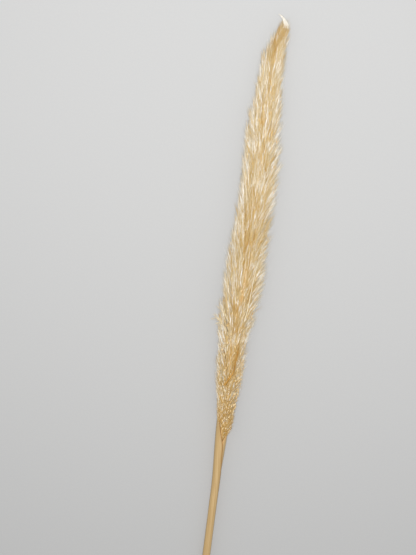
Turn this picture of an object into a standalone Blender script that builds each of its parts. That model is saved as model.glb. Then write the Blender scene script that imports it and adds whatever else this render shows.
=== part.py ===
"""One cut stem of dried pampas grass, lying on a flat surface.

Metres, +Z up, +Y along the stem from its cut end to the tip of the plume. The origin is on the
surface, at the middle of the whole stem. There are three pieces: the culm (the round stem), the
leaf sheath rolled round it, and the plume, whose branches and silky spikelets grew as one piece.
"""

import bisect
import math
import random

import bmesh
import bpy
from mathutils import Matrix, Vector

# Lengths along the stem, all measured from its cut end
STEM_LENGTH = 0.747
CULM_END = 0.3160         # from here the stem goes on inside the plume
PLUME_START = 0.3163
SHEATH_START = 0.0702
TONGUE_END = 0.357        # the free tip of the leaf sheath, on the plume's left side
TONGUE_CLEARANCE = 0.004  # past this much beyond it, tufts stand all round
CORE_END = 0.728

# The line that the stem follows: distance from the cut end, sideways, height above the surface
AXIS = [
    (0.000, 0.0050, 0.0029),
    (0.207, 0.0016, 0.0070),
    (0.318, 0.0006, 0.0092),
    (0.380, 0.0002, 0.0110),
    (0.420, -0.0004, 0.0122),
    (0.470, 0.0003, 0.0132),
    (0.560, 0.0016, 0.0130),
    (0.620, 0.0006, 0.0114),
    (0.660, -0.0002, 0.0098),
    (0.700, 0.0000, 0.0078),
    (0.730, 0.0044, 0.0062),
    (STEM_LENGTH, 0.0060, 0.0056),
]

# The culm: radius by distance, thickest at the swollen node whose shoulder carries the leaf sheath
CULM_RADIUS = [
    (0.0000, 0.0029),
    (0.0540, 0.0028),
    (0.0600, 0.0032),
    (0.0640, 0.0037),
    (0.0685, 0.0037),
    (0.0697, 0.0034),
    (0.0699, 0.0027),
    (0.2070, 0.0023),
    (CULM_END, 0.0020),
]
CULM_MIDDLE_RINGS = [0.027, 0.115, 0.160, 0.262]
CULM_BEVEL_RESOLUTION = 5

# The leaf sheath is one thin sheet, rolled with its front margin over its back margin
SHEET = 0.0006            # thickness
LAYER_STEP = 0.00095      # from the middle of the inner layer to the middle of the outer one
OVERLAP_TURN = 42         # degrees of the roll that stay on the outer layer
STEP_TURN = 110           # degrees in which the sheet then steps down to the inner layer
SHEATH_RADIUS = [
    (SHEATH_START, 0.0033),
    (0.207, 0.0030),
    (0.262, 0.0031),
    (0.278, 0.0034),
    (0.298, 0.0043),
    (0.316, 0.0051),
    (TONGUE_END, 0.0056),
]
# Where the two margins lie, in degrees from the right side up over the top. The back margin lies
# under the front one where it is more than a full turn away, and they part at the plume's mouth.
FRONT_MARGIN = [
    (SHEATH_START, -46),
    (0.207, -36),
    (0.262, -12),
    (0.280, 18),
    (0.300, 46),
    (0.312, 57),
    (0.319, 82),
    (0.332, 117),
    (0.345, 143),
    (TONGUE_END, 166),
]
BACK_MARGIN = [
    (SHEATH_START, 354),
    (0.207, 364),
    (0.262, 388),
    (0.280, 418),
    (0.300, 446),
    (0.310, 452),
    (0.318, 430),
    (0.325, 384),
    (0.331, 330),
    (0.345, 245),
    (TONGUE_END, 196),
]
SHEATH_RINGS = [
    SHEATH_START, 0.100, 0.140, 0.180, 0.215, 0.240, 0.262, 0.280, 0.295, 0.305, 0.312,
    0.316, 0.319, 0.322, 0.325, 0.328, 0.331, 0.336, 0.342, 0.349, TONGUE_END,
]
SHEATH_SEGMENTS = 26

# How far the plume's tufts reach from its axis, to the left and to the right
REACH = [
    (0.316, 0.0036, 0.0036),
    (0.340, 0.0068, 0.0096),
    (0.360, 0.0094, 0.0116),
    (0.382, 0.0132, 0.0134),
    (0.402, 0.0146, 0.0142),
    (0.416, 0.0146, 0.0134),
    (0.440, 0.0190, 0.0158),
    (0.462, 0.0186, 0.0188),
    (0.482, 0.0194, 0.0202),
    (0.502, 0.0200, 0.0186),
    (0.540, 0.0168, 0.0182),
    (0.572, 0.0162, 0.0190),
    (0.600, 0.0174, 0.0188),
    (0.642, 0.0170, 0.0142),
    (0.664, 0.0140, 0.0136),
    (0.684, 0.0114, 0.0106),
    (0.704, 0.0122, 0.0102),
    (0.722, 0.0096, 0.0072),
    (STEM_LENGTH, 0.0020, 0.0020),
]
UPWARD_SHARE = 0.86       # the plume is a little lower than it is wide, as it lies
LOWEST_TIP = 0.0007       # the tufts underneath lie this far above the surface

# The close-packed middle of the plume: its half width, and the height of its underside
CORE_RADIUS = [
    (PLUME_START, 0.0026),
    (0.335, 0.0038),
    (TONGUE_END, 0.0044),
    (0.375, 0.0058),
    (0.400, 0.0070),
    (0.440, 0.0086),
    (0.480, 0.0098),
    (0.540, 0.0094),
    (0.600, 0.0092),
    (0.650, 0.0080),
    (0.690, 0.0060),
    (0.715, 0.0040),
    (CORE_END, 0.0020),
]
CORE_UNDERSIDE = [
    (PLUME_START, 0.0066),
    (0.335, 0.0059),
    (TONGUE_END, 0.0058),
    (0.400, 0.0046),
    (0.440, 0.0036),
    (0.482, 0.0030),
    (0.502, 0.0000),
    (0.545, 0.0000),
    (0.566, 0.0030),
    (0.620, 0.0032),
    (0.700, 0.0034),
    (CORE_END, 0.0044),
]
CORE_RINGS = 34
CORE_SIDES = 12
FLAT_SHARE = 1.2          # how much of the underside is flat: 1 is none, and 1.2 is about half its width

# The spikelet tufts, each a slender three-sided spike
TUFTS = 800
FIRST_TUFT = 0.3225
LAST_TUFT = 0.722
PLACE_STEPS = 800
CROWDING = 0.004          # added to the reach, so that the narrow ends are covered too
TUFT_LENGTH = [
    (0.322, 0.013),
    (0.360, 0.020),
    (0.420, 0.033),
    (0.500, 0.040),
    (0.640, 0.038),
    (0.700, 0.030),
    (0.722, 0.022),
]
TUFT_WIDTH = 0.0046
TUFT_DEPTH = 0.0024
FULL_TUFT_CORE = 0.0080   # where the core is thinner than this, its tufts are slimmer too
TUFT_SPREAD = 0.16        # random share by which a tuft is longer or wider
TUFT_TWIST = 0.12         # radians by which its tip may turn aside
TIP_SHARE = (0.90, 1.10)  # how far out its tip is, as a share of the plume's reach
ROOT_SHARE = 0.62         # the roots sit this far out in the core
GOLDEN_SHARE = (3 - math.sqrt(5)) / 2
MARGIN_CLEARANCE = 10     # degrees kept free between a tuft and the sheath's margins
SEED = 12


def through(knots, place, column=1):
    """The value at a place on a smooth curve through one column of the knots."""
    places = [knot[0] for knot in knots]
    values = [knot[column] for knot in knots]
    last = len(knots) - 1
    start = min(max(bisect.bisect_right(places, place) - 1, 0), last - 1)
    span = places[start + 1] - places[start]
    t = min(max((place - places[start]) / span, 0.0), 1.0)
    slopes = []
    for k in (start, start + 1):
        if k in (0, last):
            other = 1 if k == 0 else last - 1
            slopes.append((values[other] - values[k]) / (places[other] - places[k]))
            continue
        before = (values[k] - values[k - 1]) / (places[k] - places[k - 1])
        after = (values[k + 1] - values[k]) / (places[k + 1] - places[k])
        slopes.append(2 * before * after / (before + after) if before * after > 0 else 0.0)
    rise = values[start + 1] - values[start]
    cubic = (slopes[0] + slopes[1]) * span - 2 * rise
    square = 3 * rise - (2 * slopes[0] + slopes[1]) * span
    return values[start] + t * (slopes[0] * span + t * (square + t * cubic))


def axis_point(place):
    """The middle of the stem at a distance from its cut end."""
    return Vector((through(AXIS, place), place - STEM_LENGTH / 2, through(AXIS, place, 2)))


def new_collection(name):
    collection = bpy.data.collections.new(name)
    bpy.context.scene.collection.children.link(collection)
    return collection


def new_object(name, data, collection):
    obj = bpy.data.objects.new(name, data)
    collection.objects.link(obj)
    return obj


def mesh_from(bm, name):
    bmesh.ops.recalc_face_normals(bm, faces=bm.faces)
    mesh = bpy.data.meshes.new(name)
    bm.to_mesh(mesh)
    bm.free()
    return mesh


def material(name, colour, roughness):
    made = bpy.data.materials.new(name)
    made.use_nodes = True
    shader = made.node_tree.nodes["Principled BSDF"]
    shader.inputs["Base Color"].default_value = (*colour, 1.0)
    shader.inputs["Roughness"].default_value = roughness
    shader.inputs["Metallic"].default_value = 0.0
    return made


def make_culm(collection):
    """The round stem, from its cut end to the plume, with one swollen node."""
    curve = bpy.data.curves.new("culm", "CURVE")
    curve.dimensions = "3D"
    curve.bevel_depth = 1.0
    curve.bevel_resolution = CULM_BEVEL_RESOLUTION
    curve.use_fill_caps = True
    spline = curve.splines.new("POLY")
    rings = sorted([place for place, _ in CULM_RADIUS] + CULM_MIDDLE_RINGS)
    spline.points.add(len(rings) - 1)
    for point, place in zip(spline.points, rings):
        point.co = (*axis_point(place), 1.0)
        point.radius = through(CULM_RADIUS, place)
    culm = new_object("culm", curve, collection)
    culm.data.materials.append(material("dry straw", (0.56, 0.42, 0.22), 0.5))


def sheath_point(place, turn):
    """A point in the middle of the rolled sheet; turn runs from 0 at the front margin to 1."""
    front = through(FRONT_MARGIN, place)
    back = through(BACK_MARGIN, place)
    angle = front + (back - front) * turn
    stepped = min(max((angle - front - OVERLAP_TURN) / STEP_TURN, 0.0), 1.0)
    ease = stepped * stepped * (3 - 2 * stepped)
    radius = through(SHEATH_RADIUS, place) + LAYER_STEP * (1 - ease)
    around = math.radians(angle)
    return axis_point(place) + Vector((radius * math.cos(around), 0.0, radius * math.sin(around)))


def make_leaf_sheath(collection):
    """The leaf base: a flat grid rolled round the culm, then given its thickness."""
    bm = bmesh.new()
    rows = len(SHEATH_RINGS)
    grid = bmesh.ops.create_grid(bm, x_segments=SHEATH_SEGMENTS, y_segments=rows - 1, size=1.0)
    for vert in grid["verts"]:
        turn = (vert.co.x + 1) / 2
        row = round((vert.co.y + 1) / 2 * (rows - 1))
        vert.co = sheath_point(SHEATH_RINGS[row], turn)
    sheath = new_object("leaf_sheath", mesh_from(bm, "leaf_sheath"), collection)
    wall = sheath.modifiers.new("wall", "SOLIDIFY")
    wall.thickness = SHEET
    wall.offset = 0.0
    sheath.data.materials.append(material("papery leaf", (0.60, 0.42, 0.20), 0.55))
    sheath.data.shade_smooth()


def core_point(place, angle):
    """A point on the plume's close-packed middle, which is flat along its underside."""
    middle = axis_point(place)
    half_width = through(CORE_RADIUS, place)
    if math.sin(angle) >= 0:
        rise = half_width * math.sin(angle)
    else:
        depth = middle.z - through(CORE_UNDERSIDE, place)
        rise = -depth * min(1.0, -math.sin(angle) * FLAT_SHARE)
    return middle + Vector((half_width * math.cos(angle), 0.0, rise))


def make_core(collection):
    """The rachis with the branches packed round it, lofted through its cross-sections."""
    bm = bmesh.new()
    rings = []
    for i in range(CORE_RINGS):
        place = PLUME_START + (CORE_END - PLUME_START) * i / (CORE_RINGS - 1)
        angles = [2 * math.pi * side / CORE_SIDES for side in range(CORE_SIDES)]
        rings.append([bm.verts.new(core_point(place, angle)) for angle in angles])
    for low, high in zip(rings, rings[1:]):
        for side in range(CORE_SIDES):
            after = (side + 1) % CORE_SIDES
            bm.faces.new((low[side], low[after], high[after], high[side]))
    bm.faces.new(rings[0])
    bm.faces.new(rings[-1])
    return new_object("plume", mesh_from(bm, "plume"), collection)


def reach_at(place, angle):
    """The plume's reach from its axis in one direction, from its left and right outlines."""
    rightness = (1 + math.cos(angle)) / 2
    return through(REACH, place) * (1 - rightness) + through(REACH, place, 2) * rightness


def tuft_point(place, angle, share):
    """A point between the plume's axis and its outline, kept above the surface."""
    middle = axis_point(place)
    reach = reach_at(place, angle) * share
    rise = reach * math.sin(angle) * (UPWARD_SHARE if math.sin(angle) > 0 else 1.0)
    height = max(middle.z + rise, LOWEST_TIP)
    return Vector((middle.x + reach * math.cos(angle), middle.y, height))


def open_window(place):
    """The two angles between which the sheath leaves the plume free."""
    if place > TONGUE_END + TONGUE_CLEARANCE:
        return 0.0, 360.0
    low = through(BACK_MARGIN, place) - 360 + MARGIN_CLEARANCE
    return low, through(FRONT_MARGIN, place) - MARGIN_CLEARANCE


def tuft_places():
    """Distances from the cut end, closer together where the plume is wider or its tufts are short."""
    places = [FIRST_TUFT + (LAST_TUFT - FIRST_TUFT) * i / PLACE_STEPS for i in range(PLACE_STEPS + 1)]
    totals = [0.0]
    for place in places[1:]:
        totals.append(totals[-1] + (through(REACH, place, 2) + CROWDING) / through(TUFT_LENGTH, place))
    for tuft in range(TUFTS):
        wanted = totals[-1] * (tuft + 0.5) / TUFTS
        yield places[bisect.bisect_left(totals, wanted)]


def make_spike(root, tip, outward, size, name, collection):
    """A slender three-sided cone from root to tip, with one edge facing outwards."""
    width, depth = size
    along = tip - root
    across = along.cross(outward).normalized()
    out = across.cross(along).normalized()
    columns = (across * width / 2, out * depth / 2, along)
    basis = Matrix([[column[row] for column in columns] for row in range(3)]).to_4x4()
    place = Matrix.Translation(root) @ basis @ Matrix.Translation((0.0, 0.0, 0.5))
    bm = bmesh.new()
    bmesh.ops.create_cone(
        bm, cap_ends=True, cap_tris=False, segments=3, radius1=1.0, radius2=0.0, depth=1.0, matrix=place
    )
    return new_object(name, mesh_from(bm, name), collection)


def make_tufts(collection):
    """Tufts in a spiral round the core, rooted well inside it and leaning up along the stem."""
    draw = random.Random(SEED)
    for number, place in enumerate(tuft_places()):
        low, high = open_window(place)
        angle = math.radians(low + (high - low) * (number * GOLDEN_SHARE % 1.0))
        longer, wider = (draw.uniform(1 - TUFT_SPREAD, 1 + TUFT_SPREAD) for _ in range(2))
        end = min(place + through(TUFT_LENGTH, place) * longer, STEM_LENGTH)
        surface = core_point(place, angle)
        root = axis_point(place).lerp(surface, ROOT_SHARE)
        tip = tuft_point(end, angle + draw.uniform(-TUFT_TWIST, TUFT_TWIST), draw.uniform(*TIP_SHARE))
        root.z = max(root.z, LOWEST_TIP + TUFT_DEPTH / 2)
        slim = min(1.0, through(CORE_RADIUS, place) / FULL_TUFT_CORE)
        size = (TUFT_WIDTH * wider * slim, TUFT_DEPTH * slim)
        make_spike(root, tip, surface - axis_point(place), size, f"tuft_{number}", collection)


def make_plume(collection):
    """The core and its tufts, joined into one solid."""
    plume = make_core(collection)
    tufts = new_collection("tufts")
    make_tufts(tufts)
    join = plume.modifiers.new("tufts", "BOOLEAN")
    join.operation = "UNION"
    join.operand_type = "COLLECTION"
    join.collection = tufts
    join.solver = "MANIFOLD"
    joined = bpy.data.meshes.new_from_object(plume.evaluated_get(bpy.context.evaluated_depsgraph_get()))
    plume.modifiers.clear()
    plume.data = joined
    for tuft in list(tufts.objects):
        bpy.data.objects.remove(tuft)
    bpy.data.collections.remove(tufts)
    plume.data.materials.clear()
    plume.data.materials.append(material("silky plume", (0.74, 0.60, 0.38), 0.8))


def main():
    for obj in list(bpy.data.objects):
        bpy.data.objects.remove(obj)
    stem = new_collection("dried_pampas_grass")
    make_culm(stem)
    make_leaf_sheath(stem)
    make_plume(stem)


main()
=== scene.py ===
# %% [markdown]
# # A cut stem of dried pampas grass
#
# Pampas grass flowers in a tall plume: a round stem, a papery leaf base rolled round it, and above
# them hundreds of branches that carry silky spikelets. Cut young and dried, the plume stays narrow,
# with its hairs lying close along the stem. This script dresses the measured solids of one such stem
# with its real surface. It starts with the solids, because every piece below is placed by them.

import bisect
import math
import random

import bmesh
import bpy
import numpy as np
from mathutils import Matrix, Vector


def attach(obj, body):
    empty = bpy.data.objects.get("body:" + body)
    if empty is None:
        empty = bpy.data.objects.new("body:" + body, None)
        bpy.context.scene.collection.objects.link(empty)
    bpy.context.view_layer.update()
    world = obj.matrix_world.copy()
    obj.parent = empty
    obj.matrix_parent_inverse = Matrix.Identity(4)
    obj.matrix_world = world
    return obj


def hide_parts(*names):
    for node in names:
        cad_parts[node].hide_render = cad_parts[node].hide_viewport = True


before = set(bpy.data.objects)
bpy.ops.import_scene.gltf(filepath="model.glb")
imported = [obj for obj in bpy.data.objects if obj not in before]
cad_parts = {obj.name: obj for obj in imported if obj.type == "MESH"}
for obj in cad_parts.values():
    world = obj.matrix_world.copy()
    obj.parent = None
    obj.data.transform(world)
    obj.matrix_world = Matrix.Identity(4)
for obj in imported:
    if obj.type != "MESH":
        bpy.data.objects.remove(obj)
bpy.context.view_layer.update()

# %% [markdown]
# ## The camera
#
# The stem lies on a table and the photograph was taken square on to it, so the camera looks straight
# down. The stem leans a little to the right in the picture and leaves it at the lower edge: the
# camera is therefore rolled about its own line of sight and centred on the upper part of the plume.
# A long lens from over a metre away keeps the stem free of distortion.

# %% Place the camera
VIEW_CENTRE = Vector((-0.0349, 0.1041, 0.012))
VIEW_HEIGHT = 0.555       # what the picture shows from its lower to its upper edge
VIEW_ROLL = math.radians(8.0)
LENS = 85.0               # millimetres, on a sensor 36 mm high
SENSOR_HEIGHT = 36.0


def in_scene(name, data):
    """A new object, linked into the scene."""
    thing = bpy.data.objects.new(name, data)
    bpy.context.scene.collection.objects.link(thing)
    return thing


lens_data = bpy.data.cameras.new("camera")
lens_data.lens = LENS
lens_data.sensor_fit = "VERTICAL"
lens_data.sensor_height = SENSOR_HEIGHT
camera = in_scene("camera", lens_data)
camera.location = VIEW_CENTRE + Vector((0, 0, VIEW_HEIGHT * LENS / SENSOR_HEIGHT))
camera.rotation_euler = (0.0, 0.0, VIEW_ROLL)
bpy.context.scene.camera = camera
bpy.context.scene.view_settings.view_transform = "Standard"
print("camera height", round(camera.location.z, 3), "m")

# %% [markdown]
# ## The line of the stem
#
# Everything on the stem follows one line, with its measures given by the distance from the cut end.
# A few measures are given, and a smooth curve runs through them without overshooting, so that
# a thickness never dips between two knots. The same curve gives radii, margins and outlines.

# %% Follow the stem
STEM_LENGTH = 0.747
AXIS = [                  # distance from the cut end, sideways, height above the surface
    (0.000, 0.0050, 0.0029), (0.207, 0.0016, 0.0070), (0.318, 0.0006, 0.0092), (0.380, 0.0002, 0.0110),
    (0.420, -0.0004, 0.0122), (0.470, 0.0003, 0.0132), (0.560, 0.0016, 0.0130), (0.620, 0.0006, 0.0114),
    (0.660, -0.0002, 0.0098), (0.700, 0.0000, 0.0078), (0.730, 0.0044, 0.0062),
    (STEM_LENGTH, 0.0060, 0.0056),
]


def clamp(value, low=0.0, high=1.0):
    return min(max(value, low), high)


def through(knots, place, column=1):
    """The value at a place on a smooth curve through one column of the knots."""
    places = [knot[0] for knot in knots]
    values = [knot[column] for knot in knots]
    last = len(knots) - 1
    start = clamp(bisect.bisect_right(places, place) - 1, 0, last - 1)
    span = places[start + 1] - places[start]
    t = clamp((place - places[start]) / span)
    slopes = []
    for k in (start, start + 1):
        if k in (0, last):
            other = 1 if k == 0 else last - 1
            slopes.append((values[other] - values[k]) / (places[other] - places[k]))
            continue
        before = (values[k] - values[k - 1]) / (places[k] - places[k - 1])
        after = (values[k + 1] - values[k]) / (places[k + 1] - places[k])
        slopes.append(2 * before * after / (before + after) if before * after > 0 else 0.0)
    rise = values[start + 1] - values[start]
    cubic = (slopes[0] + slopes[1]) * span - 2 * rise
    square = 3 * rise - (2 * slopes[0] + slopes[1]) * span
    return values[start] + t * (slopes[0] * span + t * (square + t * cubic))


def at(place, sideways, height):
    """A point, by its distance from the cut end."""
    return Vector((sideways, place - STEM_LENGTH / 2, height))


def place_of(point):
    """The distance of a point from the cut end."""
    return point.y + STEM_LENGTH / 2


def axis_point(place):
    """The middle of the stem at a distance from its cut end."""
    return at(place, through(AXIS, place), through(AXIS, place, 2))


def outward(angle, distance=1.0):
    """A step away from the middle of the stem, at an angle from its right side up over the top."""
    return Vector((distance * math.cos(angle), 0.0, distance * math.sin(angle)))


print("the stem's middle at half length:", [round(c, 4) for c in axis_point(STEM_LENGTH / 2)])

# %% [markdown]
# ## Shader expressions
#
# Dry grass has no flat colours: each surface mixes several straws. The mixing is easier to read as
# sums than as nodes, so one small class wraps a socket and turns Python operators into Math nodes.
# Any other node goes through its one method, which sets a node up and links it. Colours are given
# as a screen shows them, from 0 to 255, and turned into the linear light that shaders work with.

# %% Write shader maths as expressions
def straw(red, green, blue):
    """An opaque screen colour, in linear light."""
    shares = [channel / 255 for channel in (red, green, blue)]
    return (*(s / 12.92 if s <= 0.04045 else ((s + 0.055) / 1.055) ** 2.4 for s in shares), 1.0)


class Signal:
    """A socket of a material's nodes that can be used in an expression."""

    def __init__(self, tree, socket):
        self.tree = tree
        self.socket = socket

    def node(self, kind, settings, inputs, output=0):
        """Add a node with its settings, then put values or links into its sockets."""
        made = self.tree.nodes.new(kind)
        for name, value in settings.items():
            if name == "stops":
                ramp = made.color_ramp
                while len(ramp.elements) < len(value):
                    ramp.elements.new(0.5)
                for element, (position, *colour) in zip(ramp.elements, value):
                    element.position = position
                    element.color = straw(*colour)
            else:
                setattr(made, name, value)
        for key, value in inputs.items():
            if isinstance(value, Signal):
                self.tree.links.new(value.socket, made.inputs[key])
            else:
                made.inputs[key].default_value = value
        return Signal(self.tree, made.outputs[output])

    def maths(self, operation, first, second):
        return self.node("ShaderNodeMath", {"operation": operation}, {0: first, 1: second})

    def __add__(self, other):
        return self.maths("ADD", self, other)

    def __sub__(self, other):
        return self.maths("SUBTRACT", self, other)

    def __rsub__(self, other):
        return self.maths("SUBTRACT", other, self)

    def __mul__(self, other):
        return self.maths("MULTIPLY", self, other)

    def __pow__(self, other):
        return self.maths("POWER", self, other)

    __radd__ = __add__
    __rmul__ = __mul__

    def clamped(self):
        """The same value, kept between 0 and 1."""
        return self.node("ShaderNodeClamp", {}, {"Value": self})

    def between(self, low, high):
        """0 below low, 1 above high, and a soft step in between."""
        step = {"interpolation_type": "SMOOTHSTEP"}
        return self.node("ShaderNodeMapRange", step, {"Value": self, "From Min": low, "From Max": high})

    def ramp(self, *stops):
        """The colour of this value: each stop is a value and the colour it has."""
        return self.node("ShaderNodeValToRGB", {"stops": stops}, {0: self})

    def towards(self, colour, share):
        """This colour, mixed with another one by a share."""
        return self.node("ShaderNodeMix", {"data_type": "RGBA"}, {0: share, 6: self, 7: straw(*colour)}, 2)

    def drawn_out(self, factors, detail=2.0):
        """Noise on these coordinates, which are first stretched by a factor each."""
        scaled = self.node("ShaderNodeVectorMath", {"operation": "MULTIPLY"}, {0: self, 1: factors})
        return self.node("ShaderNodeTexNoise", {}, {"Vector": scaled, "Scale": 1.0, "Detail": detail})


print("straw in linear light:", [round(c, 3) for c in straw(202, 173, 123)])

# %% [markdown]
# ## Finishes
#
# A finish is a material with one shader. What is the same all over it, such as its gloss, is set on
# the shader itself. What changes over it, its colour or small dents, is read from a pattern on either
# the Object coordinates, which fill space, or a UV map, which follows the surface.

# %% Wrap a material
class Finish:
    """A material with one shader."""

    def __init__(self, name, roughness, specular=0.5):
        self.material = bpy.data.materials.new(name)
        self.material.use_nodes = True
        self.shader = self.material.node_tree.nodes["Principled BSDF"]
        self.shader.inputs["Roughness"].default_value = roughness
        self.shader.inputs["Specular IOR Level"].default_value = specular
        self.base = Signal(self.material.node_tree, None)

    def in_space(self):
        """The Object coordinates."""
        return self.base.node("ShaderNodeTexCoord", {}, {}, 3)

    def on_map(self, name):
        """The coordinates of a UV map."""
        return self.base.node("ShaderNodeUVMap", {"uv_map": name}, {})

    def map_parts(self, name):
        """The two values of a UV map: across it and along it."""
        parts = self.base.node("ShaderNodeSeparateXYZ", {}, {0: self.on_map(name)})
        return parts, Signal(parts.tree, parts.socket.node.outputs[1])

    def coloured(self, colour):
        """Take the shader's colour from a signal."""
        colour.tree.links.new(colour.socket, self.shader.inputs["Base Color"])

    def dented(self, height, strength, distance):
        """Let a signal dent the surface, without moving a point of it."""
        inputs = {"Strength": strength, "Distance": distance, "Height": height}
        dents = height.node("ShaderNodeBump", {}, inputs)
        dents.tree.links.new(dents.socket, self.shader.inputs["Normal"])

# %% [markdown]
# ## Pieces
#
# Each finished mesh becomes an object at the origin that rides on the stem's one body, and stands
# for the solid it dresses. A tube or a rolled leaf starts as a flat grid: its own two directions give
# the UV map, so that grain runs along the stem however the stem bends, and the grid is then rolled.

# %% Make pieces from meshes
SAME_POINT = 1e-6         # points closer than this are merged


def show(name, mesh, node, slot, *finishes):
    """Put a finished mesh in the scene in the place of a solid."""
    piece = in_scene(name, mesh)
    for finish in finishes:
        mesh.materials.append(finish.material)
    mesh.shade_smooth()
    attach(piece, "root")
    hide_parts(node)
    return piece


def rolled_grid(columns, rows, place_at, point_at):
    """A flat grid whose UV map is (turn, place), bent so that each point lies where point_at says."""
    bm = bmesh.new()
    grain_map = bm.loops.layers.uv.new("grain")
    bmesh.ops.create_grid(bm, x_segments=columns, y_segments=rows, size=1.0)
    for face in bm.faces:
        for loop in face.loops:
            x, y, _ = loop.vert.co
            loop[grain_map].uv = ((x + 1) / 2, place_at((y + 1) / 2))
    for vert in bm.verts:
        x, y, _ = vert.co
        vert.co = point_at((x + 1) / 2, place_at((y + 1) / 2))
    return bm


def close_tube(bm):
    """Merge the seam of a rolled grid, cap its two ends and return the caps."""
    bmesh.ops.remove_doubles(bm, verts=bm.verts, dist=SAME_POINT)
    rims = [edge for edge in bm.edges if edge.is_boundary]
    return bmesh.ops.holes_fill(bm, edges=rims, sides=0)["faces"]


def mesh_of(bm, name):
    mesh = bpy.data.meshes.new(name)
    bm.to_mesh(mesh)
    bm.free()
    return mesh


def triangles(mesh):
    return sum(len(polygon.vertices) - 2 for polygon in mesh.polygons)


# %% [markdown]
# ## The culm
#
# The culm is the round stem: solid, smooth and slightly ribbed, with one swollen node whose shoulder
# carries the leaf. It could be a bevelled curve, but a rolled grid lets drying wrinkles pull in its
# skin. Its lower end was cut with shears, so the cap is inset to a hard rind round paler pith.

# %% Model the culm
CULM_END = 0.3160
CULM_RADIUS = [           # distance from the cut end, radius
    (0.0000, 0.0029), (0.0540, 0.0028), (0.0600, 0.0032), (0.0640, 0.0037), (0.0685, 0.0037),
    (0.0697, 0.0034), (0.0699, 0.0027), (0.2070, 0.0023), (CULM_END, 0.0020),
]
CULM_PLACES = [(0.0, 0.0), (0.25, 0.054), (0.60, 0.072), (1.0, CULM_END)]     # closer round the node
CULM_COLUMNS = 40
CULM_ROWS = 150
WRINKLES = [(5, 40), (8, -25)]        # waves round the stem, and radians to a metre along it
WRINKLE_DEPTH = 0.006     # share of the radius by which drying pulled the skin in, for each wave
RIND = 0.0006
PITH_DEPTH = 0.0003


def culm_point(turn, place):
    around = math.tau * turn
    wrinkle = sum(math.sin(waves * around + drift * place) for waves, drift in WRINKLES)
    radius = through(CULM_RADIUS, place) * (1 - WRINKLE_DEPTH * wrinkle)
    return axis_point(place) + outward(around, radius)


bm = rolled_grid(CULM_COLUMNS, CULM_ROWS, lambda share: through(CULM_PLACES, share), culm_point)
cut = min(close_tube(bm), key=lambda face: face.calc_center_median().y)
bmesh.ops.inset_region(bm, faces=[cut], thickness=RIND, depth=0.0)
bmesh.ops.translate(bm, verts=cut.verts, vec=(0.0, PITH_DEPTH, 0.0))
cut.material_index = 1
bmesh.ops.recalc_face_normals(bm, faces=bm.faces)
culm_mesh = mesh_of(bm, "dry_culm")
print("culm triangles:", triangles(culm_mesh))

# %% [markdown]
# ## Straw for the culm and the pith
#
# Dry culms are pale gold with fine fibres along them, browner at the node. The fibres are noise that
# is stretched along the stem on the UV map, because a pattern in space would cross the slow bend of
# the stem. The same noise dents the surface by a hair's breadth.

# %% Finish the culm
straw_finish = Finish("pale_straw", 0.42)
grain = straw_finish.on_map("grain")
fine = grain.drawn_out((60.0, 30.0, 1.0), 3.0)
broad = grain.drawn_out((9.0, 8.0, 1.0), 3.0)
_, place = straw_finish.map_parts("grain")
gold = (fine * 0.6 + broad * 0.5).ramp((0.25, 197, 158, 98), (0.55, 228, 196, 142), (0.85, 244, 219, 172))
node_brown = place.between(0.058, 0.064) * (1 - place.between(0.0675, 0.0695))
straw_finish.coloured(gold.towards((150, 104, 58), node_brown * 0.7))
straw_finish.dented(fine, 0.35, 0.0002)

pith_finish = Finish("pale_pith", 0.9, 0.2)
pores = pith_finish.in_space().drawn_out((1800.0, 1800.0, 1800.0))
pith_finish.coloured(pores.ramp((0.35, 186, 158, 112), (0.65, 232, 218, 188)))
show("dry_culm", culm_mesh, "culm", "dry_culm", straw_finish, pith_finish)

# %% [markdown]
# ## The leaf sheath
#
# A grass leaf starts as a sheath: a thin sheet that rolls round the stem with one margin over the
# other. Near the plume it opens in a narrow V, and its last strip runs on up the plume's left side.
# Solidify gives the sheet its wall. Its veins are real ridges, because they catch light at its edge.

# %% Model the leaf sheath
SHEATH_START = 0.0702
TONGUE_END = 0.357
TEAR_START = 0.347
SHEET = 0.0006
LAYER_STEP = 0.00095      # how much further out the outer margin lies than the inner one
OVERLAP_TURN = 42         # degrees
STEP_TURN = 110           # degrees over which the sheet moves inwards past the overlap
SHEATH_RADIUS = [         # distance from the cut end, radius
    (SHEATH_START, 0.0033), (0.207, 0.0030), (0.262, 0.0031), (0.278, 0.0034), (0.298, 0.0043),
    (0.316, 0.0051), (TONGUE_END, 0.0056),
]
FRONT_MARGIN = [          # degrees from the right side up over the top
    (SHEATH_START, -46), (0.207, -36), (0.262, -12), (0.280, 22), (0.300, 54),
    (0.312, 64), (0.319, 82), (0.332, 117), (0.345, 143), (TONGUE_END, 166),
]
BACK_MARGIN = [
    (SHEATH_START, 354), (0.207, 364), (0.262, 388), (0.280, 418), (0.300, 446), (0.310, 452),
    (0.318, 430), (0.325, 384), (0.331, 330), (0.345, 245), (TONGUE_END, 196),
]
SHEATH_PLACES = [(0.0, SHEATH_START), (0.35, 0.262), (0.6, 0.312), (1.0, TONGUE_END)]
SHEATH_COLUMNS = 96
SHEATH_ROWS = 80
VEINS = 24
VEIN_HEIGHT = 0.00004
FRAY = 0.0022             # how deep the sheath's torn end is notched


def sheath_radius(place, past_margin):
    """The sheet's distance from the axis, by the degrees past the front margin."""
    stepped = clamp((past_margin - OVERLAP_TURN) / STEP_TURN)
    ease = stepped * stepped * (3 - 2 * stepped)
    return through(SHEATH_RADIUS, place) + LAYER_STEP * (1 - ease)


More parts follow.
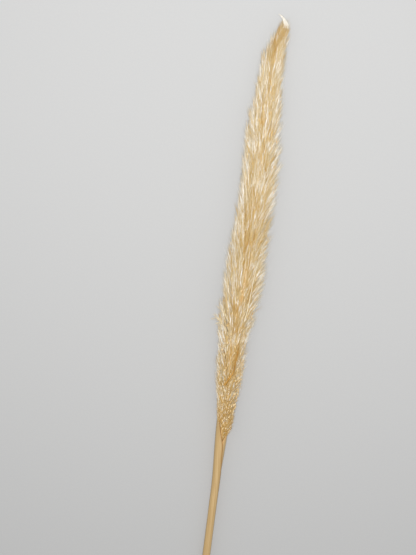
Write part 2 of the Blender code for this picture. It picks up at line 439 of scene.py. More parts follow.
def sheath_point(turn, place):
    front = through(FRONT_MARGIN, place)
    past_margin = (through(BACK_MARGIN, place) - front) * turn
    radius = sheath_radius(place, past_margin) + VEIN_HEIGHT * math.cos(math.tau * VEINS * turn)
    torn = max(0.0, (place - TEAR_START) / (TONGUE_END - TEAR_START))
    notch = FRAY * torn * (0.5 + 0.5 * math.sin(23 * turn + 2) * math.sin(57 * turn))
    return axis_point(place - notch) + outward(math.radians(front + past_margin), radius)


bm = rolled_grid(SHEATH_COLUMNS, SHEATH_ROWS, lambda share: through(SHEATH_PLACES, share), sheath_point)
bmesh.ops.recalc_face_normals(bm, faces=bm.faces)
sheath_mesh = mesh_of(bm, "papery_sheath")

# %% [markdown]
# ## Papery straw
#
# The sheath is drier and more yellow than the culm, with long pale and brown streaks. Along its front
# margin an orange-brown seam is painted shadow under the overlapping edge, and the strip of the other
# margin beside it is warmer in colour.
# The UV map's turn runs from one margin to the other, so both are soft steps on that one value.

# %% Finish the leaf sheath
papery_finish = Finish("papery_straw", 0.5, 0.4)
grain = papery_finish.on_map("grain")
fine = grain.drawn_out((95.0, 22.0, 1.0), 3.0)
broad = grain.drawn_out((14.0, 6.0, 1.0), 3.0)
blotches = grain.drawn_out((3.0, 45.0, 1.0), 4.0)
turn, place = papery_finish.map_parts("grain")
streaks = fine * 0.45 + broad * 0.45 + blotches * 0.15
sheet = streaks.ramp((0.30, 160, 126, 76), (0.52, 186, 156, 107), (0.78, 205, 177, 131))
# painted shadow: a dark orange-brown line along the front margin, where the overlapping edge shades the
# sheet
margin_shadow = (1 - turn.between(0.004, 0.035)) * place.between(0.20, 0.27)
strip = turn.between(0.90, 0.97) * place.between(0.24, 0.28)
sheet = sheet.towards((146, 97, 34), margin_shadow * 0.9).towards((222, 168, 102), strip * 0.4)
papery_finish.coloured(sheet)
papery_finish.dented(fine, 0.4, 0.00015)

sheath = show("papery_sheath", sheath_mesh, "leaf_sheath", "papery_sheath", papery_finish)
wall = sheath.modifiers.new("wall", "SOLIDIFY")
wall.thickness = SHEET
wall.offset = 0.0
print("sheath triangles:", 2 * triangles(sheath_mesh))

# %% [markdown]
# ## The plume's outline
#
# The plume is measured as it lies: how far its tufts reach to the left and right of the stem, and
# how thick its close-packed middle is. Both are curves over the distance from the cut end, so a point
# anywhere in the plume is a place, an angle round the stem, and a share of the way to the outline.

# %% Measure the plume
PLUME_START = 0.3163
CORE_END = 0.728
REACH = [                 # distance from the cut end, reach from the axis to the left, and to the right
    (0.316, 0.0036, 0.0036), (0.340, 0.0068, 0.0096), (0.360, 0.0094, 0.0116), (0.382, 0.0132, 0.0134),
    (0.402, 0.0146, 0.0142), (0.416, 0.0146, 0.0134), (0.440, 0.0190, 0.0158), (0.462, 0.0186, 0.0188),
    (0.482, 0.0194, 0.0202), (0.502, 0.0200, 0.0186), (0.540, 0.0168, 0.0182), (0.572, 0.0162, 0.0190),
    (0.600, 0.0174, 0.0188), (0.642, 0.0170, 0.0142), (0.664, 0.0140, 0.0136), (0.684, 0.0114, 0.0106),
    (0.704, 0.0122, 0.0102), (0.722, 0.0096, 0.0072), (STEM_LENGTH, 0.0020, 0.0020),
]
UPWARD_SHARE = 0.86       # of the reach sideways, for what stands up from the axis
LOWEST_TIP = 0.0007
CORE_RADIUS = [
    (PLUME_START, 0.0026), (0.335, 0.0038), (TONGUE_END, 0.0044), (0.375, 0.0058), (0.400, 0.0070),
    (0.440, 0.0086), (0.480, 0.0098), (0.540, 0.0094), (0.600, 0.0092), (0.650, 0.0080),
    (0.690, 0.0060), (0.715, 0.0040), (CORE_END, 0.0020),
]
CORE_UNDERSIDE = [        # height above the surface
    (PLUME_START, 0.0066), (0.335, 0.0059), (TONGUE_END, 0.0058), (0.400, 0.0046), (0.440, 0.0036),
    (0.482, 0.0030), (0.502, 0.0000), (0.545, 0.0000), (0.566, 0.0030), (0.620, 0.0032),
    (0.700, 0.0034), (CORE_END, 0.0044),
]
FLATTENING = 1.2          # above 1 the underside becomes flat instead of round


def core_point(place, angle):
    """A point on the plume's close-packed middle, which is flat along its underside."""
    middle = axis_point(place)
    half_width = through(CORE_RADIUS, place)
    if math.sin(angle) >= 0:
        rise = half_width * math.sin(angle)
    else:
        depth = middle.z - through(CORE_UNDERSIDE, place)
        rise = -depth * min(1.0, -math.sin(angle) * FLATTENING)
    return middle + Vector((half_width * math.cos(angle), 0.0, rise))


def inside(place, angle, share):
    """A point between the axis and the surface of the close-packed middle."""
    return axis_point(place).lerp(core_point(place, angle), share)


def reach_at(place, angle):
    """The plume's reach from its axis in one direction, from its left and right outlines."""
    rightness = (1 + math.cos(angle)) / 2
    return through(REACH, place) * (1 - rightness) + through(REACH, place, 2) * rightness


def tuft_point(place, angle, share):
    """A point between the plume's axis and its outline, kept above the surface."""
    middle = axis_point(place)
    reach = reach_at(place, angle) * share
    rise = reach * math.sin(angle) * (UPWARD_SHARE if math.sin(angle) > 0 else 1.0)
    height = max(middle.z + rise, LOWEST_TIP)
    return Vector((middle.x + reach * math.cos(angle), middle.y, height))


print("widest:", round(max(left + right for _, left, right in REACH), 4), "m")

# %% [markdown]
# ## Rachis and branches
#
# Inside the plume the stem goes on as the rachis, and thin branches leave it one after another and
# run up beside it. They lie so close that from outside only a bundle of amber straws shows between
# the tufts. Single straws would cost many faces that nobody sees, so the bundle is one rolled grid
# with a ridge for each straw, and the ridges wind slowly round it.

# %% Model the bundle of branches
BUNDLE_COLUMNS = 70
BUNDLE_ROWS = 60
BUNDLE_RIDGES = 14
BUNDLE_TWIST = 12.5       # radians that the ridges turn in a metre
BUNDLE_SHARE = 0.88       # of the close-packed middle
RIDGE_SHARE = 0.16


def bundle_place(share):
    return PLUME_START + (CORE_END - PLUME_START) * share


def bundle_point(turn, place):
    angle = math.tau * turn
    ridge = abs(math.sin(BUNDLE_RIDGES / 2 * angle + BUNDLE_TWIST * (place - PLUME_START)))
    return inside(place, angle, BUNDLE_SHARE * (1 - RIDGE_SHARE + RIDGE_SHARE * ridge))


bm = rolled_grid(BUNDLE_COLUMNS, BUNDLE_ROWS, bundle_place, bundle_point)
close_tube(bm)
bmesh.ops.recalc_face_normals(bm, faces=bm.faces)
bundle_mesh = mesh_of(bm, "packed_branches")

amber_finish = Finish("amber_straw", 0.6, 0.3)
fine = amber_finish.on_map("grain").drawn_out((70.0, 25.0, 1.0), 3.0)
amber_finish.coloured(fine.ramp((0.3, 196, 150, 84), (0.7, 228, 194, 132)))
show("packed_branches", bundle_mesh, "plume", "silky_plume", amber_finish)
print("bundle triangles:", triangles(bundle_mesh))

# %% [markdown]
# ## Looser branches
#
# Round the bundle, single branches leave it for the outer tufts. Each starts a golden turn after the
# one before it, as leaves do, so that no two lie on each other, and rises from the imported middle.

# %% Lay out the looser branches
GOLDEN_SHARE = (3 - math.sqrt(5)) / 2       # of a turn, from one branch to the next
LOOSE_BRANCHES = 70
LOOSE_START = PLUME_START + 0.008
LOOSE_SPAN = 0.640 - PLUME_START
BRANCH_LENGTH = (0.050, 0.090)
BRANCH_KNOTS = 9
BRANCH_TWIST = 0.3
LEAVING_SHARE = 0.55      # of the close-packed middle, where a branch leaves it
ARRIVING_SHARE = 0.95



def evenly(first, span, count):
    """Places in even steps from the first one, the last of them a step short of the whole span."""
    return [first + span * number / count for number in range(count)]


branch_draw = random.Random(7)
loose_paths = []
for number, start in enumerate(evenly(LOOSE_START, LOOSE_SPAN, LOOSE_BRANCHES)):
    angle = math.tau * number * GOLDEN_SHARE
    twist = branch_draw.uniform(-BRANCH_TWIST, BRANCH_TWIST)
    length = min(branch_draw.uniform(*BRANCH_LENGTH), CORE_END - start)
    path = []
    for knot in range(BRANCH_KNOTS):
        way = knot / (BRANCH_KNOTS - 1)
        share = LEAVING_SHARE + (ARRIVING_SHARE - LEAVING_SHARE) * way
        path.append(inside(start + length * way, angle + twist * way, share))
    loose_paths.append(path)
print("loose branches:", len(loose_paths))

# %% [markdown]
# ## Branches in view
#
# Two branches lie on the very top of the plume, one pale and one amber, and on the left a few
# branchlets have dried into loose curls. The amber one is painted darker than its own amber, as the
# shade of the parting it lies in. Each follows a few measures taken from the real one, and gets its
# height from the plume's upper side below it.

# %% Lay out the branches in view
PALE_BRANCH = [           # distance from the cut end, sideways, share of the way to the outline
    (0.4395, 0.0068, 0.80), (0.4510, 0.0083, 1.07), (0.4680, 0.0092, 1.16), (0.4840, 0.0102, 1.17),
    (0.4990, 0.0117, 1.17), (0.5150, 0.0138, 1.08),
]
AMBER_BRANCH = [
    (0.3740, -0.0036, 0.86), (0.3810, -0.0002, 0.98), (0.3890, 0.0032, 1.03), (0.4020, 0.0044, 1.03),
    (0.4170, 0.0050, 0.84),
]
CURLED_BRANCHES = [       # distance from the cut end, and sideways, of the dried curls on the left
    [(0.4230, -0.0050), (0.4268, -0.0086), (0.4335, -0.0137), (0.4392, -0.0202)],
    [(0.4372, -0.0180), (0.4392, -0.0215), (0.4384, -0.0245), (0.4368, -0.0268)],
    [(0.4372, -0.0180), (0.4405, -0.0214), (0.4422, -0.0253)],
    [(0.4340, -0.0142), (0.4346, -0.0184), (0.4326, -0.0220)],
    [(0.4350, -0.0152), (0.4400, -0.0190), (0.4440, -0.0238)],
    [(0.4360, -0.0070), (0.4422, -0.0122), (0.4470, -0.0160), (0.4511, -0.0219)],
    [(0.4440, -0.0136), (0.4490, -0.0172), (0.4530, -0.0200)],
    [(0.4422, -0.0122), (0.4490, -0.0150), (0.4556, -0.0174)],
]
CURL_SHARE = [(-0.0137, 1.25), (-0.0086, 1.14), (-0.0050, 0.80)]      # by the distance sideways
CURL_SIDE = 0.88          # of the reach: further out a curl keeps its height
TOP_KNOTS = 20            # of the pale and the amber branch
CORNER_CUTS = 2


def top_of(place, sideways, share):
    """The point of the plume's upper side at a place and a distance sideways."""
    reach = through(REACH, place, 2 if sideways > 0 else 1)
    angle = math.acos(clamp((sideways - axis_point(place).x) / reach, -1.0))
    return at(place, sideways, tuft_point(place, angle, share).z)


def along_top(knots):
    """A smooth path over the plume's upper side."""
    first = knots[0][0]
    places = [first + (knots[-1][0] - first) * number / (TOP_KNOTS - 1) for number in range(TOP_KNOTS)]
    return [top_of(place, through(knots, place), through(knots, place, 2)) for place in places]


def curl_point(place, sideways):
    """A point of a dried curl, at the height of the plume's upper side beside it."""
    side = max(sideways, -CURL_SIDE * through(REACH, place))
    point = top_of(place, side, through(CURL_SHARE, sideways))
    return Vector((sideways, point.y, point.z))


def rounded(path):
    """The same path with its corners cut off again and again, so that it bends softly."""
    for _ in range(CORNER_CUTS):
        cut = [path[0]]
        for here, ahead in zip(path, path[1:]):
            cut += [here.lerp(ahead, 1 / 4), here.lerp(ahead, 3 / 4)]
        path = cut + [path[-1]]
    return path


amber_path = along_top(AMBER_BRANCH)
curls = [[curl_point(*knot) for knot in knots] for knots in CURLED_BRANCHES]
print("curls:", len(curls), "highest", round(max(point.z for curl in curls for point in curl), 4))

# %% [markdown]
# ## Round stalks
#
# Every branch is a round stalk that thins towards its tip. A curve with a bevel keeps its roundness
# wherever it bends, so each is one, and is turned into a mesh once it has its way.

# %% Model the stalks
BRANCH_RADIUS = 0.00042
BRANCH_TAPER = 0.35       # of the radius, at the tip
BRANCH_GRAIN = (900.0, 60.0, 900.0)       # to a metre: grains are drawn out along the stem
BRANCHES = [              # name, paths, thickness, dark straw, pale straw
    ("loose_branches", loose_paths, 1.0, (190, 146, 78), (222, 184, 118)),
    # the amber branch is painted darker than its own amber, as the shade of the parting it lies in
    ("shaded_amber_branch", [amber_path], 2.0, (160, 114, 46), (204, 154, 74)),
    ("pale_branch", [along_top(PALE_BRANCH)], 0.9, (240, 224, 188), (250, 240, 214)),
    ("curled_branches", [rounded(curl) for curl in curls], 0.65, (226, 200, 146), (244, 228, 190)),
]


def branches_mesh(name, paths, thickness):
    """Tapering round branches, one along each path of points."""
    curve = bpy.data.curves.new(name, "CURVE")
    curve.dimensions = "3D"
    curve.bevel_depth = BRANCH_RADIUS * thickness
    curve.bevel_resolution = 1
    curve.use_fill_caps = True
    for path in paths:
        spline = curve.splines.new("POLY")
        spline.points.add(len(path) - 1)
        for number, (knot, point) in enumerate(zip(spline.points, path)):
            knot.co = (*point, 1.0)
            knot.radius = 1 - (1 - BRANCH_TAPER) * number / (len(path) - 1)
    holder = bpy.data.objects.new(name, curve)
    mesh = bpy.data.meshes.new_from_object(holder)
    mesh.name = name
    bpy.data.objects.remove(holder)
    return mesh


for name, paths, thickness, dark, pale in BRANCHES:
    finish = Finish(name, 0.6, 0.3)
    grain = finish.in_space().drawn_out(BRANCH_GRAIN)
    finish.coloured(grain.ramp((0.35, *dark), (0.65, *pale)))
    mesh = branches_mesh(name, paths, thickness)
    show(name, mesh, "plume", "silky_plume", finish)
    print(name, triangles(mesh), "triangles")

# %% [markdown]
# ## A brush of silky hairs
#
# A spikelet is a few papery husks with long silky hairs. From a step away it is a soft brush, and
# the plume holds thousands of them. A hair is a long three-sided cone, the fewest faces that still
# look round; a husk is the same cone with a belly, pressed flat. A few different brushes are modelled
# once for each habit, combed, loose or beady, and every spikelet is a copy of one of them.

# %% Model the brushes
HABITS = {                # straight hairs, bent hairs, husks, radians of spread, hair lengths, hair width
    "combed": (10, 2, 1, 0.06, (0.0080, 0.0145), 0.00018),
    "loose": (7, 1, 0, 0.26, (0.0090, 0.0170), 0.00012),
    "beady": (5, 1, 3, 0.16, (0.0055, 0.0095), 0.00018),
}
BRUSHES = 12              # of each habit
HAIR_ROOTS = 0.0030       # hairs leave the spikelet along this length
HAIR_BEND = (0.0008, 0.0026)
HAIR_SHADE = 0.26         # how far a hair's shade may lie from its brush's tone
HUSK_LENGTH = (0.0035, 0.0062)
HUSK_SHADE = (-0.30, 0.12)
HUSK = {"width": 0.0004, "bend": 0.0004, "belly": 2.6, "thickness": 0.35}
MIDDLE_RING = 0.45
HALF_STREAK = 0.004       # half of a hair's width on the colour map

fine_draw = random.Random(31)
vary = fine_draw.uniform


def add_hair(bm, matrix, length, width, shade, bend=0.0, belly=1.0, thickness=1.0):
    """A three-sided cone with its root at the origin, placed by a matrix. It bends at a middle ring."""
    colour = bm.loops.layers.uv["OFBake"]
    old = set(bm.faces)
    verts = bmesh.ops.create_cone(
        bm, cap_ends=True, cap_tris=False, segments=3, radius1=width / 2, radius2=0.0, depth=length,
        matrix=Matrix.Translation((0.0, 0.0, length / 2)),
    )["verts"]
    ring = [vert for vert in verts if vert.co.z < length / 2]
    new_faces = [face for face in bm.faces if face not in old]
    for face in new_faces:
        cap = all(vert in ring for vert in face.verts)
        for loop in face.loops:
            side = ring.index(loop.vert) - 1 if loop.vert in ring else 0
            height = 0.02 * (side + 1) if cap else loop.vert.co.z / length
            loop[colour].uv = (shade + HALF_STREAK * side, height)
    if bend:
        edges = list({edge for face in new_faces for edge in face.edges})
        cut = bmesh.ops.bisect_plane(
            bm, geom=new_faces + edges + verts, dist=1e-7,
            plane_co=(0.0, 0.0, length * MIDDLE_RING), plane_no=(0.0, 0.0, 1.0),
        )["geom_cut"]
        added = [item for item in cut if isinstance(item, bmesh.types.BMVert)]
        bmesh.ops.scale(bm, vec=(belly, belly, 1.0), verts=added)
        verts = verts + added
        for vert in verts:
            vert.co.x += bend * (vert.co.z / length) ** 2
    bmesh.ops.scale(bm, vec=(1.0, thickness, 1.0), verts=verts)
    bmesh.ops.transform(bm, matrix=matrix, verts=verts)


def leaning(lean, azimuth, roll=0.0, root=(0.0, 0.0, 0.0)):
    """A matrix that stands something at root, rolls it about itself and leans it from +Z."""
    turned = Matrix.Rotation(azimuth, 4, "Z") @ Matrix.Rotation(lean, 4, "Y")
    return Matrix.Translation(root) @ turned @ Matrix.Rotation(roll, 4, "Z")


def make_brush(habit, number):
    """One brush, with its hairs and then its husks spread round +Z."""
    straight, bent, husks, spread, lengths, hair_width = HABITS[habit]
    bm = bmesh.new()
    bm.loops.layers.uv.new("OFBake")
    for part in range(straight + bent + husks):
        azimuth = math.tau * part * GOLDEN_SHARE
        roll = vary(0, math.tau)
        root = (0.0, 0.0, HAIR_ROOTS * fine_draw.random())
        if part < straight + bent:
            matrix = leaning(spread * math.sqrt(vary(0.02, 1.0)), azimuth, roll, root)
            bend = vary(*HAIR_BEND) if part >= straight else 0.0
            width = hair_width * vary(0.8, 1.25)
            add_hair(bm, matrix, vary(*lengths), width, vary(-HAIR_SHADE, HAIR_SHADE), bend)
        else:
            matrix = leaning(spread * 1.2, azimuth, roll, root)
            shade = vary(*HUSK_SHADE)
            add_hair(bm, matrix, vary(*HUSK_LENGTH), shade=shade, **HUSK)
    bmesh.ops.recalc_face_normals(bm, faces=bm.faces)
    return mesh_of(bm, f"{habit}_brush_{number}")


def colour_map(mesh):
    """The colour map of a mesh, as numbers that its copies can shift."""
    values = np.empty(2 * len(mesh.loops), np.float32)
    mesh.uv_layers["OFBake"].uv.foreach_get("vector", values)
    return values


brushes = {habit: [make_brush(habit, number) for number in range(BRUSHES)] for habit in HABITS}
colour_maps = {brush.name: colour_map(brush) for brush in sum(brushes.values(), [])}
print("triangles and faces of a brush:")
for habit, made in brushes.items():
    print(habit, triangles(made[0]), len(made[0].polygons))

# %% [markdown]
# ## Strands
#
# The spikelets of one branch lie together as a strand, and the strands give the plume its combed,
# herringbone look. A strand is a line with one bend, and it knows the habit of its brushes: their
# size, how closely they follow each other, how far they lean out and how many are loose or beady.

# %% Describe a strand
BRUSH_SIZE = [(0.316, 0.42), (0.345, 0.52), (0.390, 0.75), (0.440, 0.98), (0.640, 1.05), (0.722, 0.85)]
BEADINESS = [(0.316, 0.85), (0.360, 0.65), (0.420, 0.30), (0.500, 0.14), (0.747, 0.08)]


class Strand:
    """A line with one bend, and the habit of its brushes."""

    def __init__(self, root, bend, tip, tone, **habit):
        place = place_of(root)
        self.root = root
        self.bend = bend
        self.tip = tip
        self.length = (tip - root).length
        self.tone = tone
        self.shading = habit.get("shading", 1.0)
        self.size = habit.get("size", through(BRUSH_SIZE, place))
        self.spacing = habit.get("spacing", 1.0)
        self.lean = habit.get("lean", 1.0)
        self.loose = habit.get("loose", 0.22)
        self.scatter = habit.get("scatter", 0.0)
        self.hidden = habit.get("hidden", 0.0)
        self.beady = habit.get("beady", through(BEADINESS, place))

    def point(self, t):
        return self.root.lerp(self.bend, t).lerp(self.bend.lerp(self.tip, t), t)

    def direction(self, t):
        return (self.point(min(t + 0.05, 1.0)) - self.point(max(t - 0.05, 0.0))).normalized()


def bent_strand(root, tip, bow, tone, **habit):
    """A strand whose middle stays behind its straight line by a share of its sideways way."""
    along = Vector((0.0, tip.y - root.y, 0.0))
    sideways = tip - root - along
    return Strand(root, root + along * 0.5 + sideways * (0.5 - bow), tip, tone, **habit)


print("brush size at half the plume:", round(through(BRUSH_SIZE, 0.5), 3))

# %% [markdown]
# ## The spiral of strands
#
# Strands grow in a spiral round the middle, closer together where the plume is wide, each rooted
# inside it and leaning up to the outline. To the right a strand flares late and steeply, and to the
# left it soon lies along the stem again, as on the real one. Most strands in view have a twin.

# %% Lay out the strands
TUFTS = 800
FIRST_TUFT = 0.3225
LAST_TUFT = 0.722
TUFTS_END = 0.7425        # only the white tip hangs past it
PLACE_STEPS = 800
CROWDING = 0.004
TUFT_LENGTH = [           # distance from the cut end, length
    (0.322, 0.013), (0.360, 0.020), (0.420, 0.033), (0.500, 0.040), (0.640, 0.038), (0.700, 0.030),
    (0.722, 0.022),
]
LOWEST_ROOT = LOWEST_TIP + 0.0012
TUFT_SPREAD = 0.16        # of a strand's length
TUFT_TWIST = 0.12         # radians
TIP_SHARE = (0.90, 1.10)  # of the way to the outline
ROOT_SHARE = 0.62
TONGUE_CLEARANCE = 0.004
MARGIN_CLEARANCE = 10     # degrees
BOW = 0.28                # how far a strand's middle stays behind, as it flares to the right
STRAND_TONE = (0.52, 0.08)
SCATTER = 0.0012          # how far brushes stand beside their strand
HIDDEN = 0.18             # share of a strand that is too deep to be seen
TWIN_SHARE = 0.76         # of the strands have a twin, except on the underside
TWIN_TURN = 0.5           # radians
TWIN_AHEAD = 0.004
TWIN_TIP_SHARE = (0.80, 1.05)
UNDERSIDE = -0.5          # sine of the angle below which a strand is there


def open_window(place):
    """The two angles between which the sheath leaves the plume free."""
    if place > TONGUE_END + TONGUE_CLEARANCE:
        return 0.0, 360.0
    low = through(BACK_MARGIN, place) - 360 + MARGIN_CLEARANCE
    return low, through(FRONT_MARGIN, place) - MARGIN_CLEARANCE


def tuft_places():
    """Distances from the cut end, closer together where the plume is wider or its tufts are short."""
    places = [FIRST_TUFT + (LAST_TUFT - FIRST_TUFT) * i / PLACE_STEPS for i in range(PLACE_STEPS + 1)]
    totals = [0.0]
    for place in places[1:]:
        totals.append(totals[-1] + (through(REACH, place, 2) + CROWDING) / through(TUFT_LENGTH, place))
    for tuft in range(TUFTS):
        wanted = totals[-1] * (tuft + 0.5) / TUFTS
        yield places[bisect.bisect_left(totals, wanted)]


def round_strand(place, end, angle, twist, share):
    """A strand from the close-packed middle to the outline."""
    root = inside(place, angle, ROOT_SHARE)
    root.z = max(root.z, LOWEST_ROOT)
    tip = tuft_point(min(end, TUFTS_END), angle + twist, share)
    tone = fine_draw.gauss(*STRAND_TONE)
    return bent_strand(root, tip, BOW * math.cos(angle), tone, scatter=SCATTER, hidden=HIDDEN)


strands = []
strand_draw = random.Random(12)
for number, place in enumerate(tuft_places()):
    low, high = open_window(place)
    angle = math.radians(low + (high - low) * (number * GOLDEN_SHARE % 1.0))
    longer = strand_draw.uniform(1 - TUFT_SPREAD, 1 + TUFT_SPREAD)
    strand_draw.random()      # left over, so that the draws below stay as they are
    end = min(place + through(TUFT_LENGTH, place) * longer, TUFTS_END)
    twist = strand_draw.uniform(-TUFT_TWIST, TUFT_TWIST)
    strands.append(round_strand(place, end, angle, twist, strand_draw.uniform(*TIP_SHARE)))
    if math.sin(angle) > UNDERSIDE and fine_draw.random() < TWIN_SHARE:
        angle += vary(-TWIN_TURN, TWIN_TURN)
        strands.append(round_strand(place, end + TWIN_AHEAD, angle, 0.0, vary(*TWIN_TIP_SHARE)))
print("strands round the stem:", len(strands))

# %% [markdown]
# ## Wisps
#
# What makes one stem different from the next lies at its edges. Some strands stand a little clear of
# the outline as pointed wisps, each placed by its tip. Short strands fill the left flank, between
# those along the top and those at the edge.

# %% Add the wisps and the left flank
WISPS = [                 # each tip: distance from the cut end, sideways
    (0.708, -0.0130), (0.680, -0.0142), (0.664, -0.0152), (0.651, -0.0184), (0.629, -0.0186),
    (0.599, -0.0178), (0.565, -0.0160), (0.529, -0.0186), (0.504, -0.0186), (0.476, -0.0190),
    (0.457, -0.0192), (0.403, -0.0160), (0.384, -0.0146), (0.372, -0.0122),
    (0.728, -0.0060), (0.720, -0.0086),
    (0.735, 0.0112), (0.700, 0.0120), (0.664, 0.0158), (0.640, 0.0190), (0.619, 0.0212),
    (0.600, 0.0230), (0.582, 0.0232), (0.565, 0.0224), (0.549, 0.0216), (0.528, 0.0224),
    (0.510, 0.0222), (0.493, 0.0228), (0.482, 0.0210), (0.442, 0.0176), (0.410, 0.0142),
    (0.401, 0.0134), (0.395, 0.0122),
]
FINE_WISPS = [(0.7290, 0.0142), (0.7285, 0.0138), (0.690, 0.0124), (0.681, 0.0130), (0.672, 0.0144)]
WISP_STRANDS = 3          # to each wisp, and one to each fine one
WISP_START = 0.340
WISP_SIZE = 0.85          # of the brushes beside it
WISP_LENGTH = [(0.360, 0.019), (0.440, 0.032), (0.747, 0.032)]
WISP_SPREAD = (0.8, 1.2)  # of that length
WISP_TONE = (0.62, 0.09)
WISP_BOW = 0.2
WISP_ROOT = 0.45          # of the tip's way sideways
WISP_RISE = (-0.002, 0.004)
WISP_REACH = (0.88, 1.0)
WISP_HABIT = {"loose": 0.6, "spacing": 1.5, "lean": 0.8}
for place, sideways in WISPS * WISP_STRANDS + FINE_WISPS:
    start = max(place - through(WISP_LENGTH, place) * vary(*WISP_SPREAD), WISP_START)
    root = axis_point(start) + Vector((WISP_ROOT * sideways, 0.0, vary(*WISP_RISE)))
    tip = at(place, sideways * vary(*WISP_REACH), root.z)
    bow = math.copysign(WISP_BOW, sideways)
    size = WISP_SIZE * through(BRUSH_SIZE, place)
    tone = fine_draw.gauss(*WISP_TONE)
    strands.append(bent_strand(root, tip, bow, tone, size=size, **WISP_HABIT))

FLANK_STRANDS = 26
FLANK_START = 0.352
FLANK_SPAN = 0.130
FLANK_LENGTH = 0.030
FLANK_TURN = (112, 142)   # degrees
FLANK_TWIST = 0.1         # radians
FLANK_REACH = (0.72, 0.92)        # of the way to the outline
FLANK_TONE = (0.48, 0.1)
NEAR_SURFACE = 0.9        # of the close-packed middle
for start in evenly(FLANK_START, FLANK_SPAN, FLANK_STRANDS):
    turned = math.radians(vary(*FLANK_TURN))
    twist = vary(-FLANK_TWIST, FLANK_TWIST)
    tip = tuft_point(start + FLANK_LENGTH, turned + twist, vary(*FLANK_REACH))
    root = inside(start, turned, NEAR_SURFACE)
    strands.append(bent_strand(root, tip, 0.0, fine_draw.gauss(*FLANK_TONE), scatter=SCATTER))
print("strands with wisps and flank:", len(strands))

# %% [markdown]
# ## Curls and the white tip
#
# A few golden hairs run along the amber branch, painted darker as the shade of its parting, and each
# dried curl carries a thin row of hairs. The last tuft bleached white, hangs over to the left and hides
# the ends of the strands that fill the plume's last bend. Each is a strand like the others, from its own
# few measures.

# %% Add the strands of the curls and the tip
AMBER_STRANDS = 3
AMBER_STEPS = (1, 11, 17)         # of the branch's points, for a strand's root, bend and tip
AMBER_NUDGE = 0.0005
# a dark tone: the hairs' own amber, painted darker as the shade of the branch's parting
SHADED_AMBER_TONE = 0.06
AMBER_HABIT = {"size": 0.55, "spacing": 1.6, "shading": 0.0, "loose": 0.0, "beady": 0.1}


def nudge(size):
    """A small step in any direction."""
    return Vector([vary(-size, size) for _ in range(3)])


for _ in range(AMBER_STRANDS):
    aside = nudge(AMBER_NUDGE)
    knots = [amber_path[step] + aside for step in AMBER_STEPS]
    strands.append(Strand(*knots, SHADED_AMBER_TONE, **AMBER_HABIT))

CURL_NUDGE = 0.0004
CURL_TONE = (0.68, 0.08)
CURL_HABIT = {"size": 0.42, "spacing": 2.0, "lean": 2.4, "loose": 0.35, "beady": 0.5, "shading": 0.0}
for curl in curls:
    aside = nudge(CURL_NUDGE)
    knots = [curl[number] + aside for number in (0, len(curl) // 2, -1)]
    strands.append(Strand(*knots, fine_draw.gauss(*CURL_TONE), **CURL_HABIT))

WHITE_KNOTS = [           # of the white tip: distance from the cut end, sideways, height; and spread
    ((0.7355, 0.0080, 0.0078), 0.0027),
    ((0.7458, 0.0060, 0.0096), 0.0018),
    ((0.7478, -0.0012, 0.0088), 0.0004),
]
WHITE_STRANDS = 24
WHITE_ENDS = (0.5, 1.0)   # of the way along those knots
WHITE_HABIT = {"size": 0.34, "spacing": 1.2, "lean": 0.5, "loose": 0.1, "beady": 0.0, "shading": 0.0}
for _ in range(WHITE_STRANDS):
    knots = [at(*knot) + nudge(spread) for knot, spread in WHITE_KNOTS]
    ends = vary(*WHITE_ENDS)
    tip = Strand(*knots, 1.0).point(ends)
    strands.append(Strand(knots[0], knots[0].lerp(knots[1], ends), tip, 1.0, **WHITE_HABIT))

LAST_STRANDS = 42
LAST_PLACES = (0.704, 0.718)
LAST_LENGTH = (0.019, 0.023)
LAST_RISE = (-0.001, 0.003)
LAST_REACH = (0.0035, 0.0052)     # sideways, of the roots and of the tips
LAST_ASIDE = 0.0004       # how far the tips stand to the right
LAST_BOW = 0.15
LAST_TONE = (0.5, 0.1)
for _ in range(LAST_STRANDS):
    side = vary(-1, 1)
    start = vary(*LAST_PLACES)
    root = axis_point(start) + Vector((LAST_REACH[0] * side, 0.0, vary(*LAST_RISE)))
    end = start + vary(*LAST_LENGTH)
    tip = axis_point(end) + Vector((LAST_REACH[1] * side + LAST_ASIDE, 0.0, vary(*LAST_RISE)))
    strands.append(bent_strand(root, tip, LAST_BOW, fine_draw.gauss(*LAST_TONE), size=0.62, loose=0.2))
print("strands with curls and tip:", len(strands))

# %% [markdown]
# ## The mouth of the sheath
#
# Where the plume leaves the sheath its strands are small and crowded. Some fill the throat, some flare
# out over the right margin, and some cross over the sheath's last strip from the right.

# %% Add the strands of the mouth
MOUTH_TONE = (0.5, 0.12)
THROAT_STRANDS = 60
THROAT_PLACES = (0.3168, 0.3258)
THROAT_LENGTH = (0.012, 0.020)
THROAT_RADIUS = 0.0020
THROAT_WINDOW = 0.016     # how far on the sheath's opening is read
THROAT_REACH = (0.5, 0.95)
THROAT_BOW = 0.1


def beside(place, distance, degrees):
    """A point at a distance from the middle of the stem, at an angle in degrees."""
    return axis_point(place) + outward(math.radians(degrees), distance)


for number in range(THROAT_STRANDS):
    place = vary(*THROAT_PLACES)
    root = beside(place, THROAT_RADIUS, 360 * number * GOLDEN_SHARE)
    turned = math.radians(vary(*open_window(place + THROAT_WINDOW)))
    tip = tuft_point(place + vary(*THROAT_LENGTH), turned, vary(*THROAT_REACH))
    tone = fine_draw.gauss(*MOUTH_TONE)
    strands.append(bent_strand(root, tip, THROAT_BOW, tone, spacing=1.2, loose=0.0))

